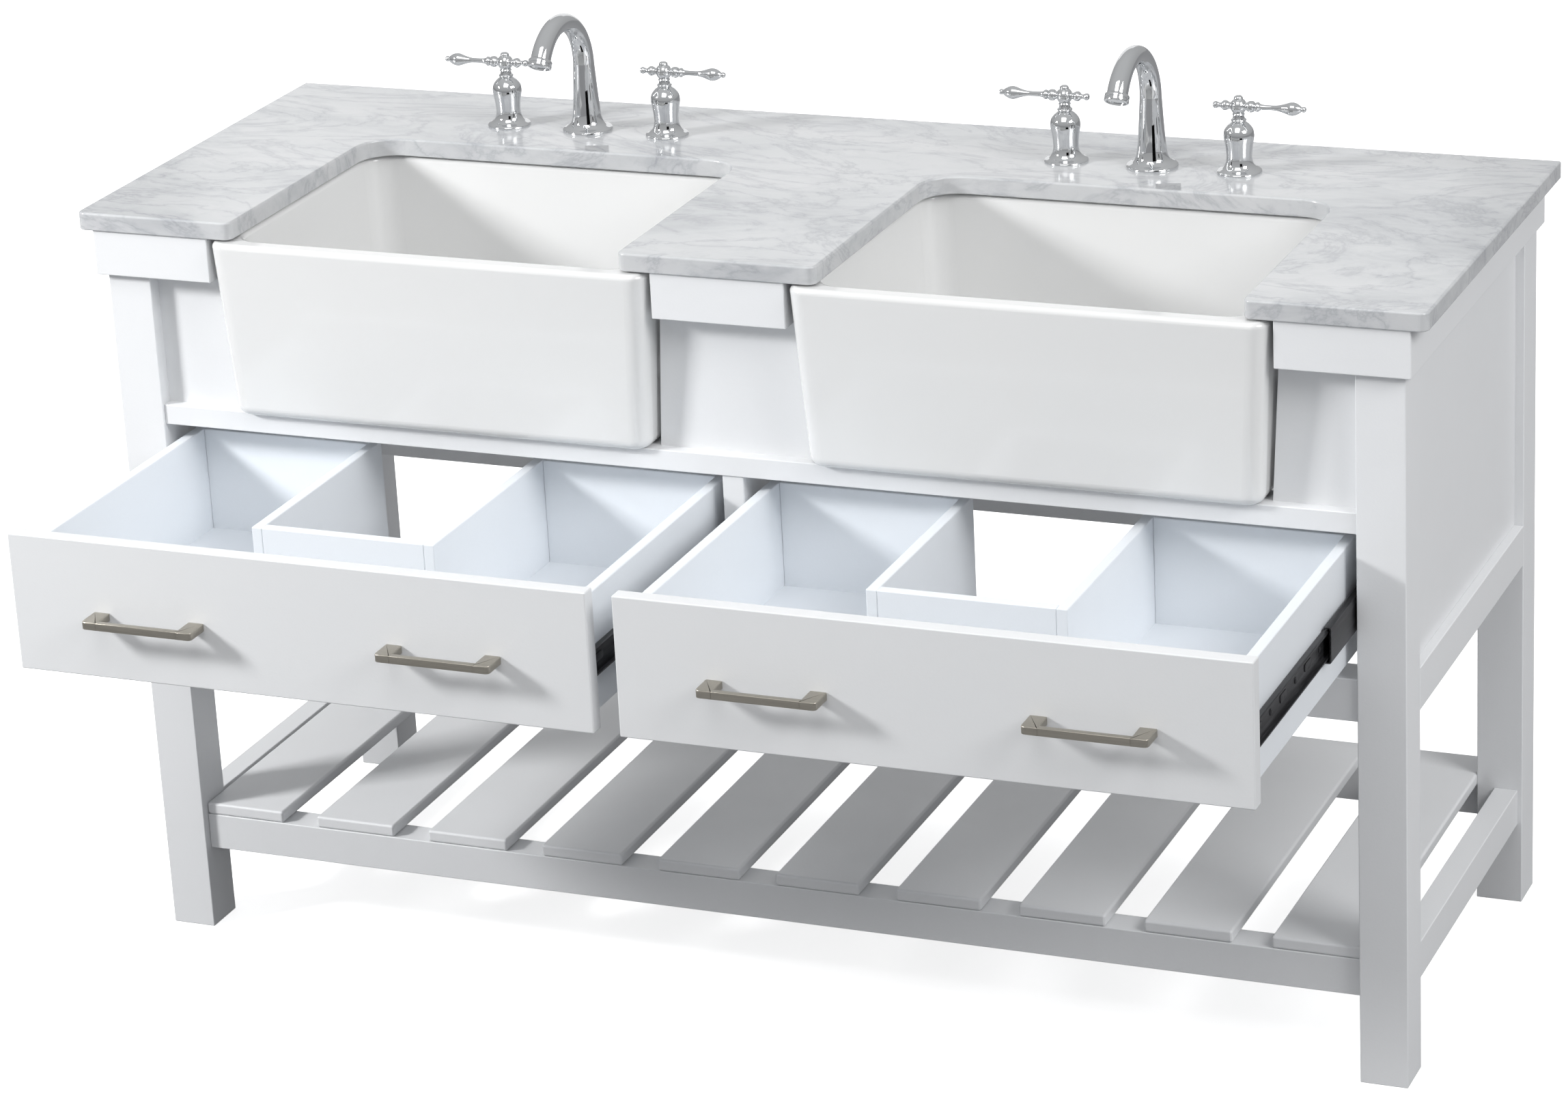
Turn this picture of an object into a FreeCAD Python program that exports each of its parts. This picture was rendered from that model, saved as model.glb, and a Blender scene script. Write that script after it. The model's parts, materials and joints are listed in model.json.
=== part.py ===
import FreeCAD, Part
import math
import os
import Sketcher

# Double bathroom vanity with two apron sinks, two notched drawers and an open slatted shelf.
# Frame: millimetres, +Z up, origin on the floor, at the wall plane, on the centreline.
# +X is to the right of a person facing the cabinet, and the front looks along -Y.

# ---------------------------------------------------------------- driving dimensions
DIMENSIONS = {
    # overall
    "overall_width": 1524, "overall_depth": 546, "overall_height": 860,
    # marble top
    "slab_thick": 20, "cut_inner": 112, "cut_outer": 572, "cut_depth": 346,
    "cut_corner": 40, "tip_corner": 10, "slab_top_ease": 2.5, "slab_bottom_ease": 1.5,
    # legs and boards
    "leg_size": 52, "leg_outer": 736, "leg_setback": 13, "board_ease": 1.2,
    "side_panel_recess": 10, "side_panel_thick": 15, "side_rail_thick": 25,
    "rail_bottom": 409, "rail_top": 456, "rail_depth": 42, "rail_setback": 5,
    "ledge_bottom": 615, "ledge_top": 638, "ledge_setback": 3, "ledge_depth": 44,
    "partition_thick": 24.4, "back_rail_height": 100, "back_rail_thick": 18,
    "cleat_bottom": 495, "cleat_top": 560, "rear_rail_depth": 40,
    # cornice and fascia
    "cornice_bottom": 789, "cornice_front": 10, "cornice_side": 8.5, "fascia_recess": 17,
    "fascia_thick": 18, "sink_gap": 5,
    # slatted shelf
    "shelf_bottom": 96, "shelf_rail_top": 138, "slat_thick": 14, "slat_width": 98, "slat_count": 10,
    "slat_ease": 3, "shelf_front": 523, "stretcher_thick": 37, "side_stretcher_outer": 731,
    "side_stretcher_thick": 27,
    # sinks
    "sink_centre": 339.5, "sink_width": 517, "sink_depth": 384, "sink_proud": 9, "sink_height": 200,
    "sink_taper": 3.0, "bowl_width": 468, "apron_wall": 23, "sink_back_wall": 25, "bowl_floor": 20,
    "sink_corner": 20, "sink_base_round": 12, "bowl_corner": 28, "bowl_base_round": 22,
    "sink_rim_round": 6, "drain_set": 330, "drain_hole": 22.5,
    # drain
    "drain_flange": 29, "drain_lip": 2, "drain_neck": 22, "drain_bore": 16.5, "tail_radius": 15.9,
    "tail_bore": 14, "neck_drop": 62, "neck_wall": 4, "tail_drop": 112, "nut_thick": 12, "drain_nut": 38,
    "stopper_radius": 21, "stopper_thick": 4, "stopper_stem": 4, "stopper_stem_drop": 50,
    "stopper_raise": 0.4, "stopper_edge": 1.5,
    # faucets
    "faucet_centre": 338, "handle_spacing": 99, "faucet_set": 117, "deck_hole": 17,
    "shank_neck": 11.5, "shank_neck_drop": 30, "shank_radius": 10.3, "shank_drop": 62,
    "lock_nut": 24, "lock_nut_thick": 8,
    "spout_flange": 28.5, "spout_tube": 12, "spout_bore": 7.5, "spout_straight": 79,
    "spout_arc": 60, "spout_outlet": 111, "flare_top": 62, "aerator_radius": 13.5, "aerator_tall": 9,
    "handle_height": 74, "stem_radius": 3, "stem_clearance": 0.05, "lever_reach": 76, "lever_tail": 29,
    # drawers, drawn out
    "drawer_travel": 344, "front_inner": 14.5, "front_outer": 682, "front_bottom": 459, "front_top": 612,
    "front_thick": 18, "front_ease": 1.5, "slide_space": 13, "box_length": 380, "box_bottom": 470,
    "box_top": 598, "wall_thick": 12, "panel_bottom": 474, "panel_thick": 6,
    "notch_width": 190, "notch_reach": 281,
    # bar pulls
    "pull_inner": 178, "pull_outer": 520, "pull_height": 529, "pull_length": 130, "pull_tall": 8.5,
    "pull_bar": 7, "pull_standoff": 30, "pull_post": 18, "pull_round": 1.5,
    "screw_radius": 2, "screw_fit": 0.05, "screw_grip": 12, "screw_head": 4.2, "screw_head_thick": 2.5,
    # drawer slides
    "slide_height": 527, "steel": 1.4, "outer_tall": 46, "outer_deep": 8, "outer_length": 400,
    "outer_front": 511, "middle_tall": 39, "middle_set": 2.4, "middle_deep": 7.6,
    "middle_length": 300, "middle_front": 616, "inner_tall": 31, "inner_deep": 7.2, "inner_length": 376,
}

doc = FreeCAD.newDocument("vanity")


class Size:
    """A length together with the spreadsheet formula that gives it."""

    def __init__(self, value, text=None):
        self.value = float(value)
        self.text = text if text else "(%s)" % value

    def __add__(self, other):
        other = size(other)
        return Size(self.value + other.value, "(%s + %s)" % (self.text, other.text))

    def __sub__(self, other):
        other = size(other)
        return Size(self.value - other.value, "(%s - %s)" % (self.text, other.text))

    def __mul__(self, other):
        other = size(other)
        return Size(self.value * other.value, "(%s * %s)" % (self.text, other.text))

    def __truediv__(self, other):
        other = size(other)
        return Size(self.value / other.value, "(%s / %s)" % (self.text, other.text))

    def __neg__(self):
        return Size(-self.value, "(0 - %s)" % self.text)

    def __radd__(self, other):
        return size(other) + self

    def __rsub__(self, other):
        return size(other) - self

    def __rmul__(self, other):
        return size(other) * self


def size(value):
    return value if isinstance(value, Size) else Size(value)


def tangent(angle):
    """The tangent of an angle that is held in degrees."""
    return Size(math.tan(math.radians(angle.value)), "tan(%s * 1 deg)" % angle.text)


class Sheet:
    """The spreadsheet's cells by name."""

    def __init__(self, dimensions):
        self.sheet = doc.addObject("Spreadsheet::Sheet", "Dims")
        for row, (name, number) in enumerate(dimensions.items(), start=1):
            self.sheet.set("A%d" % row, name)
            self.sheet.set("B%d" % row, str(number))
            self.sheet.setAlias("B%d" % row, name)
            setattr(self, name, Size(number, "Dims." + name))
        doc.recompute()


D = Sheet(DIMENSIONS)
nodes = []

# ---------------------------------------------------------------- places that many pieces share
FRONT = -D.overall_depth
SLAB_UNDER = D.overall_height - D.slab_thick
LEG_FRONT = FRONT + D.leg_setback
LEG_INNER = D.leg_outer - D.leg_size
PANEL_OUTER = D.leg_outer - D.side_panel_recess
PANEL_INNER = PANEL_OUTER - D.side_panel_thick
FASCIA_FRONT = LEG_FRONT + D.fascia_recess
SINK_FRONT = FRONT - D.sink_proud
SINK_BACK = SINK_FRONT + D.sink_depth
SINK_INNER = D.sink_centre - D.sink_width / 2
SINK_OUTER = D.sink_centre + D.sink_width / 2
SINK_TOP = D.ledge_top + D.sink_height
DRAWER_FRONT = LEG_FRONT - D.drawer_travel
BOX_FRONT = DRAWER_FRONT + D.front_thick
BOX_BACK = BOX_FRONT + D.box_length
BOX_INNER = D.partition_thick / 2 + D.slide_space
BOX_OUTER = LEG_INNER - D.slide_space
NOTCH_CENTRE = (BOX_INNER + BOX_OUTER) / 2
NOTCH_FRONT = BOX_BACK - D.notch_reach
SIDES = {"left": -1, "right": 1}


# ---------------------------------------------------------------- small builders
def bind(item, property_name, length):
    item.setExpression(property_name, size(length).text)


def place(item, x=0, y=0, z=0):
    """Tie an object's position to the sheet."""
    for axis, length in (("x", x), ("y", y), ("z", z)):
        bind(item, "Placement.Base." + axis, length)


def span(side, near, far):
    """The lowest and highest X of a piece that lies between two distances from the centreline."""
    return (near, far) if side > 0 else (-far, -near)


def keep(item, label):
    """Mark an object as a sub-part, to be written under its label."""
    item.Label = label
    nodes.append(item)
    return item


def plain_box(name, x, y, z):
    """A box between the given pairs of limits."""
    box = doc.addObject("Part::Box", name)
    for property_name, (low, high) in (("Length", x), ("Width", y), ("Height", z)):
        bind(box, property_name, size(high) - low)
    place(box, x[0], y[0], z[0])
    return box


def eased_box(name, x, y, z, ease=D.board_ease):
    """A board with all its edges eased."""
    box = plain_box(name + "_blank", x, y, z)
    doc.recompute()
    eased = doc.addObject("Part::Fillet", name)
    eased.Base = box
    eased.Edges = [(edge, ease.value, ease.value) for edge in range(1, 13)]
    return eased


def board(label, x, y, z, ease=D.board_ease):
    return keep(eased_box(label, x, y, z, ease), label)


def group(label, pieces):
    """Like pieces that share a node, each a solid of its own."""
    compound = doc.addObject("Part::Compound", label)
    compound.Links = pieces
    return keep(compound, label)


def new_body(name):
    return doc.addObject("PartDesign::Body", name)


def sketch(body, plane, offset=0):
    """An empty sketch on one of the body's own origin planes."""
    drawn = body.newObject("Sketcher::SketchObject", body.Name + "_sketch")
    support = [part for part in body.Origin.OriginFeatures if part.Role == plane][0]
    drawn.AttachmentSupport = [(support, "")]
    drawn.MapMode = "FlatFace"
    bind(drawn, "AttachmentOffset.Base.z", offset)
    return drawn


def fix_point(drawn, geometry, vertex, x, y):
    """Tie a point of a sketch to the sketch's origin."""
    for kind, length in (("DistanceX", size(x)), ("DistanceY", size(y))):
        index = drawn.addConstraint(Sketcher.Constraint(kind, -1, 1, geometry, vertex, length.value))
        drawn.setExpression("Constraints[%d]" % index, length.text)


def outline(drawn, corners):
    """A closed outline of straight lines through the corners."""
    first = drawn.GeometryCount
    vectors = [FreeCAD.Vector(size(x).value, size(y).value, 0) for x, y in corners]
    for start, end in zip(vectors, vectors[1:] + vectors[:1]):
        drawn.addGeometry(Part.LineSegment(start, end), False)
    for index, (x, y) in enumerate(corners):
        following = first + (index + 1) % len(corners)
        drawn.addConstraint(Sketcher.Constraint("Coincident", first + index, 2, following, 1))
        fix_point(drawn, first + index, 1, x, y)


def rectangle(drawn, x, y):
    outline(drawn, [(x[0], y[0]), (x[1], y[0]), (x[1], y[1]), (x[0], y[1])])


def circle(drawn, x, y, radius):
    centre = FreeCAD.Vector(size(x).value, size(y).value, 0)
    index = drawn.addGeometry(Part.Circle(centre, FreeCAD.Vector(0, 0, 1), size(radius).value), False)
    fix_point(drawn, index, 3, x, y)
    ring = drawn.addConstraint(Sketcher.Constraint("Radius", index, size(radius).value))
    drawn.setExpression("Constraints[%d]" % ring, size(radius).text)


def pad(body, profile, length, reverse=False, taper=None):
    grown = body.newObject("PartDesign::Pad", body.Name + "_pad")
    grown.Profile = profile
    bind(grown, "Length", length)
    grown.Reversed = reverse
    if taper is not None:
        bind(grown, "TaperAngle", taper)
    doc.recompute()
    return grown


def pocket(body, profile, length, reverse=False, taper=None):
    """Cut a sketch away and make sure that material went."""
    before = body.Shape.Volume
    cut = body.newObject("PartDesign::Pocket", body.Name + "_pocket")
    cut.Profile = profile
    bind(cut, "Length", length)
    cut.Reversed = reverse
    if taper is not None:
        bind(cut, "TaperAngle", taper)
    doc.recompute()
    if cut.Shape.Volume >= before - 1:
        raise RuntimeError(body.Name + ": a pocket removed nothing")
    return cut


def revolve(body, profile, axis="V_Axis"):
    turned = body.newObject("PartDesign::Revolution", body.Name + "_turned")
    turned.Profile = profile
    turned.ReferenceAxis = (profile, [axis])
    turned.Angle = 360
    doc.recompute()
    return turned


def round_edges(body, radius, wanted):
    """Fillet the body's edges for which the test is true."""
    doc.recompute()
    base = body.Tip
    names = ["Edge%d" % number for number, edge in enumerate(base.Shape.Edges, start=1) if wanted(edge)]
    if not names:
        raise RuntimeError(body.Name + ": no edge to round")
    rounded = body.newObject("PartDesign::Fillet", body.Name + "_rounding")
    rounded.Base = (base, names)
    bind(rounded, "Radius", radius)
    doc.recompute()
    return rounded


def near(value, target, slack=0.6):
    return abs(value - size(target).value) < slack


def is_upright(edge):
    """True for a straight edge that climbs more than it runs."""
    ends = [vertex.Point for vertex in edge.Vertexes]
    if len(ends) < 2:
        return False
    rise = ends[1] - ends[0]
    return abs(rise.z) > 0.9 * edge.Length


def is_level_at(edge, z):
    box = edge.BoundBox
    return near(box.ZMin, z) and near(box.ZMax, z)


def turned_body(name, profile, plane="XZ_Plane", axis="V_Axis"):
    """A body turned from one closed profile of (radius, height) corners."""
    body = new_body(name)
    drawn = sketch(body, plane)
    outline(drawn, profile)
    revolve(body, drawn, axis)
    return body


# ---------------------------------------------------------------- cabinet frame
def legs():
    for place_name, depth in (("front", (LEG_FRONT, LEG_FRONT + D.leg_size)), ("rear", (-D.leg_size, 0))):
        for name, side in SIDES.items():
            board("leg_%s_%s" % (place_name, name), span(side, LEG_INNER, D.leg_outer), depth,
                  (0, SLAB_UNDER), D.board_ease)


def sides():
    depth = (LEG_FRONT + D.leg_size, -D.leg_size)
    for name, side in SIDES.items():
        board("side_panel_" + name, span(side, PANEL_INNER, PANEL_OUTER), depth, (D.rail_top, SLAB_UNDER))
        board("side_rail_" + name, span(side, D.leg_outer - D.side_rail_thick, D.leg_outer), depth,
              (D.rail_bottom, D.rail_top))


def front_rails():
    across = (-LEG_INNER, LEG_INNER)
    ledge_front = LEG_FRONT + D.ledge_setback
    board("front_upper_rail", across, (ledge_front, ledge_front + D.ledge_depth),
          (D.ledge_bottom, D.ledge_top))
    rail_front = LEG_FRONT + D.rail_setback
    board("front_lower_rail", across, (rail_front, rail_front + D.rail_depth),
          (D.rail_bottom, D.rail_top))
    half = D.partition_thick / 2
    board("centre_partition", (-half, half), (rail_front, 0), (D.rail_top, D.ledge_bottom))


def rear_rails():
    across = (-LEG_INNER, LEG_INNER)
    board("back_upper_rail", across, (-D.back_rail_thick, 0), (SLAB_UNDER - D.back_rail_height, SLAB_UNDER))
    board("back_lower_rail", across, (-D.rail_depth, 0), (D.rail_bottom, D.rail_top))
    board("sink_rear_rail", (-PANEL_INNER, PANEL_INNER), (SINK_BACK - D.rear_rail_depth, SINK_BACK),
          (D.ledge_bottom, D.ledge_top))


def slide_cleats():
    depth = (LEG_FRONT + D.leg_size, -D.leg_size)
    height = (D.cleat_bottom, D.cleat_top)
    pieces = [eased_box("slide_cleat_" + name, span(side, LEG_INNER, PANEL_INNER), depth, height)
              for name, side in SIDES.items()]
    group("slide_cleats", pieces)


def cornice_body(label, corners):
    """A cornice piece drawn in plan and rebated over the legs."""
    body = new_body(label)
    drawn = sketch(body, "XY_Plane", D.cornice_bottom)
    outline(drawn, corners)
    pad(body, drawn, SLAB_UNDER - D.cornice_bottom)
    round_edges(body, D.board_ease, lambda edge: is_level_at(edge, D.cornice_bottom)
                or (is_upright(edge) and edge.BoundBox.YMin < LEG_FRONT.value - 1))
    return keep(body, label)


def cornice():
    outer = D.leg_outer + D.cornice_side
    proud = LEG_FRONT - D.cornice_front
    end = SINK_OUTER + D.sink_gap
    for name, side in SIDES.items():
        corners = [(end, proud), (outer, proud), (outer, LEG_FRONT), (LEG_INNER, LEG_FRONT),
                   (LEG_INNER, FASCIA_FRONT), (end, FASCIA_FRONT)]
        cornice_body("cornice_front_" + name, [(x * side, y) for x, y in corners])
        leg_back = LEG_FRONT + D.leg_size
        corners = [(outer, LEG_FRONT), (outer, 0), (D.leg_outer, 0), (D.leg_outer, -D.leg_size),
                   (PANEL_OUTER, -D.leg_size), (PANEL_OUTER, leg_back), (D.leg_outer, leg_back),
                   (D.leg_outer, LEG_FRONT)]
        cornice_body("cornice_side_" + name, [(x * side, y) for x, y in corners])
    half = SINK_INNER - D.sink_gap
    cornice_body("cornice_front_centre", [(-half, proud), (half, proud), (half, FASCIA_FRONT),
                                          (-half, FASCIA_FRONT)])


def fascia_body(label, corners):
    """A fascia panel drawn in elevation, its edge beside a sink parallel to the sink's taper."""
    body = new_body(label)
    drawn = sketch(body, "XZ_Plane", -FASCIA_FRONT)
    outline(drawn, corners)
    pad(body, drawn, D.fascia_thick, reverse=True)
    return keep(body, label)


def fascias():
    lean = D.sink_height * tangent(D.sink_taper)
    top_z = SLAB_UNDER
    outer_edge = SINK_OUTER + D.sink_gap
    for name, side in SIDES.items():
        corners = [(LEG_INNER, D.ledge_top), (LEG_INNER, top_z), (outer_edge, top_z),
                   (outer_edge - lean, D.ledge_top)]
        fascia_body("fascia_" + name, [(x * side, z) for x, z in corners])
    half = SINK_INNER - D.sink_gap
    fascia_body("fascia_centre", [(-half - lean, D.ledge_top), (half + lean, D.ledge_top),
                                  (half, top_z), (-half, top_z)])


# ---------------------------------------------------------------- shelf
def shelf():
    across = (-LEG_INNER, LEG_INNER)
    height = (D.shelf_bottom, D.shelf_rail_top)
    board("shelf_front_stretcher", across, (-D.shelf_front, -D.shelf_front + D.stretcher_thick), height)
    board("shelf_rear_stretcher", across, (-D.stretcher_thick, 0), height)
    depth = (LEG_FRONT + D.leg_size, -D.leg_size)
    inner = D.side_stretcher_outer - D.side_stretcher_thick
    pieces = [eased_box("side_stretcher_" + name, span(side, inner, D.side_stretcher_outer), depth, height)
              for name, side in SIDES.items()]
    group("shelf_side_stretchers", pieces)
    pitch = (LEG_INNER * 2 - D.slat_width) / (D.slat_count - 1)
    slats = []
    for number in range(int(D.slat_count.value)):
        start = pitch * number - LEG_INNER
        slats.append(eased_box("slat_%d" % (number + 1), (start, start + D.slat_width),
                               (-D.shelf_front, 0), (D.shelf_rail_top, D.shelf_rail_top + D.slat_thick),
                               D.slat_ease))
    group("shelf_slats", slats)


# ---------------------------------------------------------------- marble top
def faucet_places():
    """X of the two spouts and the four handles, the handles with the way their levers point."""
    spouts = [(name, D.faucet_centre * side) for name, side in SIDES.items()]
    handles = []
    for name, side in SIDES.items():
        handles.append(("%s_hot" % name, D.faucet_centre * side - D.handle_spacing, -1))
        handles.append(("%s_cold" % name, D.faucet_centre * side + D.handle_spacing, 1))
    return spouts, handles


def countertop():
    body = new_body("countertop")
    half = D.overall_width / 2
    back = FRONT + D.cut_depth
    edges = [(D.cut_inner, FRONT), (D.cut_inner, back), (D.cut_outer, back), (D.cut_outer, FRONT),
             (half, FRONT), (half, 0)]
    corners = edges + [(-x, y) for x, y in reversed(edges)]
    drawn = sketch(body, "XY_Plane", SLAB_UNDER)
    outline(drawn, corners)
    pad(body, drawn, D.slab_thick)
    round_edges(body, D.cut_corner, lambda edge: is_upright(edge) and near(edge.BoundBox.YMin, back))
    round_edges(body, D.tip_corner, lambda edge: is_upright(edge) and near(edge.BoundBox.YMax, FRONT))
    round_edges(body, D.slab_top_ease, lambda edge: is_level_at(edge, D.overall_height))
    round_edges(body, D.slab_bottom_ease, lambda edge: is_level_at(edge, SLAB_UNDER))
    holes = sketch(body, "XY_Plane", D.overall_height)
    spouts, handles = faucet_places()
    for x in [spot[1] for spot in spouts + handles]:
        circle(holes, x, -D.faucet_set, D.deck_hole)
    pocket(body, holes, D.slab_thick)
    keep(body, "countertop")


# ---------------------------------------------------------------- sinks and drains
def sink(name, side):
    """An apron sink, its sides drawn in towards the base, with the bowl and drain hole cut out."""
    body = new_body("sink_" + name)
    half_width = D.sink_width / 2
    half_depth = D.sink_depth / 2
    block = sketch(body, "XY_Plane", D.sink_height)
    rectangle(block, (-half_width, half_width), (-half_depth, half_depth))
    pad(body, block, D.sink_height, reverse=True, taper=-D.sink_taper)
    round_edges(body, D.sink_corner, is_upright)
    round_edges(body, D.sink_base_round, lambda edge: is_level_at(edge, 0))
    bowl = sketch(body, "XY_Plane", D.sink_height)
    half_bowl = D.bowl_width / 2
    rectangle(bowl, (-half_bowl, half_bowl), (-half_depth + D.apron_wall, half_depth - D.sink_back_wall))
    depth = D.sink_height - D.bowl_floor
    pocket(body, bowl, depth, taper=-D.sink_taper)
    round_edges(body, D.bowl_corner, lambda edge: is_upright(edge) and near(edge.BoundBox.ZMin, D.bowl_floor, 1))
    round_edges(body, D.bowl_base_round, lambda edge: is_level_at(edge, D.bowl_floor))
    round_edges(body, D.sink_rim_round, lambda edge: is_level_at(edge, D.sink_height))
    hole = sketch(body, "XY_Plane", D.bowl_floor)
    circle(hole, 0, half_depth - SINK_BACK - D.drain_set, D.drain_hole)
    pocket(body, hole, D.bowl_floor)
    place(body, D.sink_centre * side, SINK_BACK - half_depth, D.ledge_top)
    keep(body, "sink_" + name)


def drains():
    """Flanged drain bodies with their tailpieces, the nuts under the sinks and the pop-up stoppers."""
    floor_z = D.ledge_top + D.bowl_floor
    bore_end = -D.neck_drop + D.neck_wall
    bodies = []
    nuts = []
    for name, side in SIDES.items():
        x = D.sink_centre * side
        drain = turned_body("drain_body_" + name, [
            (D.drain_bore, D.drain_lip), (D.drain_flange, D.drain_lip), (D.drain_flange, 0),
            (D.drain_neck, 0), (D.drain_neck, -D.neck_drop), (D.tail_radius, -D.neck_drop),
            (D.tail_radius, -D.tail_drop), (D.tail_bore, -D.tail_drop), (D.tail_bore, bore_end),
            (D.drain_bore, bore_end)])
        place(drain, x, -D.drain_set, floor_z)
        bodies.append(drain)
        nut = turned_body("drain_nut_" + name, [
            (D.drain_neck, 0), (D.drain_nut, 0), (D.drain_nut, -D.nut_thick), (D.drain_neck, -D.nut_thick)])
        place(nut, x, -D.drain_set, D.ledge_top)
        nuts.append(nut)
        stem = -D.stopper_stem_drop
        stopper = turned_body("stopper_" + name, [
            (0, D.stopper_thick), (D.stopper_radius - 3, D.stopper_thick), (D.stopper_radius, D.stopper_edge),
            (D.stopper_radius, D.stopper_raise), (D.stopper_stem, D.stopper_raise), (D.stopper_stem, stem),
            (0, stem)])
        place(stopper, x, -D.drain_set, floor_z + D.drain_lip)
        keep(stopper, "stopper_" + name)
    group("drain_bodies", bodies)
    group("drain_nuts", nuts)


# ---------------------------------------------------------------- faucets
def spout(name, x):
    """A gooseneck on a flared base, with its threaded shank below the deck."""
    body = new_body("faucet_spout_" + name)
    bore = D.spout_bore
    base = sketch(body, "XZ_Plane")
    outline(base, [
        (bore, -D.shank_drop), (D.shank_radius, -D.shank_drop), (D.shank_radius, -D.shank_neck_drop),
        (D.shank_neck, -D.shank_neck_drop), (D.shank_neck, 0), (D.spout_flange, 0),
        (D.spout_flange, 4), (D.spout_flange - 8, 8), (D.spout_tube + 4, 16), (D.spout_tube + 2.5, 30),
        (D.spout_tube, D.flare_top), (bore, D.flare_top)])
    revolve(body, base)
    ring = sketch(body, "XY_Plane", D.flare_top)
    circle(ring, 0, 0, D.spout_tube)
    circle(ring, 0, 0, bore)
    pipe = body.newObject("PartDesign::AdditivePipe", body.Name + "_neck")
    pipe.Profile = ring
    pipe.Spine = (neck_path(body), ["Edge1", "Edge2"])
    doc.recompute()
    place(body, x, -D.faucet_set, D.overall_height)
    keep(body, "faucet_spout_" + name)


def neck_path(body):
    """Straight up, then over towards the front in one arc that stops short of straight down."""
    path = sketch(body, "YZ_Plane")
    arc = D.spout_arc
    turn = D.spout_straight
    start = FreeCAD.Vector(0, D.flare_top.value, 0)
    corner = FreeCAD.Vector(0, turn.value, 0)
    drop = (D.spout_outlet - turn).value
    reach = (arc.value ** 2 - drop ** 2) ** 0.5
    top = FreeCAD.Vector(-arc.value, turn.value + arc.value, 0)
    end = FreeCAD.Vector(-arc.value - reach, turn.value + drop, 0)
    path.addGeometry(Part.LineSegment(start, corner), False)
    path.addGeometry(Part.Arc(corner, top, end), False)
    fix_point(path, 0, 1, 0, D.flare_top)
    fix_point(path, 0, 2, 0, turn)
    path.addConstraint(Sketcher.Constraint("Coincident", 0, 2, 1, 1))
    fix_point(path, 1, 3, -arc, turn)
    height = path.addConstraint(Sketcher.Constraint("DistanceY", -1, 1, 1, 2, D.spout_outlet.value))
    path.setExpression("Constraints[%d]" % height, D.spout_outlet.text)
    return path


def aerators(spouts):
    """Outlet collars, square to the end of each gooseneck."""
    pieces = []
    arc = D.spout_arc.value
    drop = (D.spout_outlet - D.spout_straight).value
    reach = (arc ** 2 - drop ** 2) ** 0.5
    for name, x in spouts:
        piece = turned_body("aerator_" + name, [
            (D.spout_bore - 1, 0), (D.aerator_radius, 0), (D.aerator_radius, -D.aerator_tall),
            (D.spout_bore - 1, -D.aerator_tall)])
        angle = FreeCAD.Rotation(FreeCAD.Vector(0, 0, 1), FreeCAD.Vector(0, drop, reach))
        piece.Placement = FreeCAD.Placement(FreeCAD.Vector(0, 0, 0), angle)
        place(piece, x, -D.faucet_set - D.spout_arc - reach, D.overall_height + D.spout_outlet)
        pieces.append(piece)
    group("aerators", pieces)


def valve_body(name, x):
    """A bell-shaped valve body with a stem that the lever turns on."""
    stem_top = D.handle_height - 3
    neck_top = D.handle_height - 10.5
    body = turned_body("valve_body_" + name, [
        (0, -D.shank_drop), (D.shank_radius, -D.shank_drop), (D.shank_radius, -D.shank_neck_drop),
        (D.shank_neck, -D.shank_neck_drop), (D.shank_neck, 0), (24.5, 0), (24.5, 4),
        (20, 7), (17.5, 11), (16.5, 18), (17.5, 39), (16, 47), (10, 54.5), (7, 57), (7, neck_top),
        (D.stem_radius, neck_top), (D.stem_radius, stem_top), (0, stem_top)])
    place(body, x, -D.faucet_set, D.overall_height)
    return body


def lever(name, x, way):
    """A hub with a long teardrop arm one way and a short beaded tail the other."""
    body = new_body("lever_" + name)
    hub = sketch(body, "XZ_Plane")
    bore = D.stem_radius + D.stem_clearance
    outline(hub, [(bore, -10), (6, -10), (9, -5.5), (9, 4.5), (6.5, 7.5), (3.5, 8.5), (3.5, 10.5), (0, 12),
                  (0, -2), (bore, -2)])
    revolve(body, hub)
    arm = sketch(body, "XZ_Plane")
    reach = D.lever_reach
    tail = -D.lever_tail
    outline(arm, [(reach, 0), (reach - 3, 2.2), (reach - 8, 3), (reach - 13, 6.5), (reach - 19, 7),
                  (reach - 28, 3), (22, 2.6), (20, 4.6), (16, 4.6), (14, 3), (4, 3), (4, 0)])
    revolve(body, arm, "H_Axis")
    stub = sketch(body, "XZ_Plane")
    outline(stub, [(tail, 0), (tail + 2, 3.6), (tail + 6, 3.6), (tail + 8, 2.4), (-4, 2.8), (-4, 0)])
    revolve(body, stub, "H_Axis")
    if way < 0:
        body.Placement = FreeCAD.Placement(FreeCAD.Vector(0, 0, 0),
                                           FreeCAD.Rotation(FreeCAD.Vector(0, 0, 1), 180))
    place(body, x, -D.faucet_set, D.overall_height + D.handle_height)
    keep(body, "lever_" + name)


def lock_nut(name, x):
    body = turned_body("lock_nut_" + name, [
        (D.shank_neck, 0), (D.lock_nut, 0), (D.lock_nut, -D.lock_nut_thick),
        (D.shank_neck, -D.lock_nut_thick)])
    place(body, x, -D.faucet_set, SLAB_UNDER)
    return body


def faucets():
    spouts, handles = faucet_places()
    for name, x in spouts:
        spout(name, x)
    aerators(spouts)
    group("valve_bodies", [valve_body(name, x) for name, x, way in handles])
    for name, x, way in handles:
        lever(name, x, way)
    places = [spot[:2] for spot in spouts + handles]
    group("faucet_nuts", [lock_nut("%s_%d" % (name, index), x) for index, (name, x) in enumerate(places)])


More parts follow.
